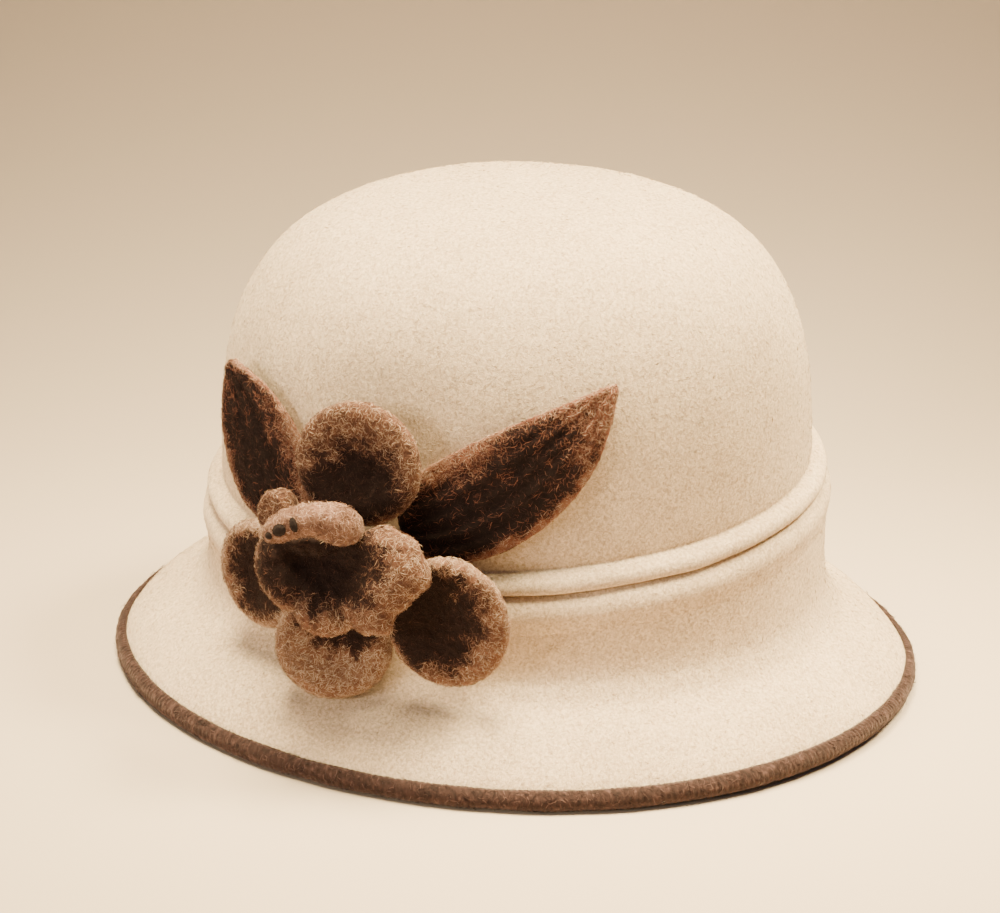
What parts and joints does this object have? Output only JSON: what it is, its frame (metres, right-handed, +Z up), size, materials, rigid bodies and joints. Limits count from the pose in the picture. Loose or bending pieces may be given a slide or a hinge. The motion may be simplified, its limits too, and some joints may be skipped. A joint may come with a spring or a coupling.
{
  "type": "cloche hat",
  "caption": "Bell-shaped wool felt cloche hat with a tilted stitched tuck, a flared brim with a wound wool edge, and a felted flower with leaves at the wearer's left.",
  "frame": {"origin": "middle of the hat's outline box, on the surface that its edge rests on", "axes": "+Z up, -Y towards the front of the hat, +X towards the wearer's left, where the flower is"},
  "size_m": [0.2476, 0.2786, 0.1691],
  "materials": {
    "cream_felt": "thick napped wool felt, cream, dull",
    "edge_wool": "wound brown wool yarn, mottled, dull",
    "petal_wool": "needle-felted wool, dark brown to tan at the rims",
    "leaf_wool": "needle-felted wool, near black brown with lighter rims",
    "column_wool": "needle-felted wool, light tan",
    "spot_wool": "needle-felted wool, dark brown"
  },
  "bodies": {
    "root": {"felt_body": "cream_felt", "edge_roll": "edge_wool", "petal_top": "petal_wool", "petal_right": "petal_wool", "petal_bottom": "petal_wool", "petal_left": "petal_wool", "lip": "petal_wool", "small_lobe": "petal_wool", "column": "column_wool", "spot_inner": "spot_wool", "spot_middle": "spot_wool", "spot_outer": "spot_wool", "leaf_right": "leaf_wool", "leaf_left": "leaf_wool"}
  },
  "joints": []
}
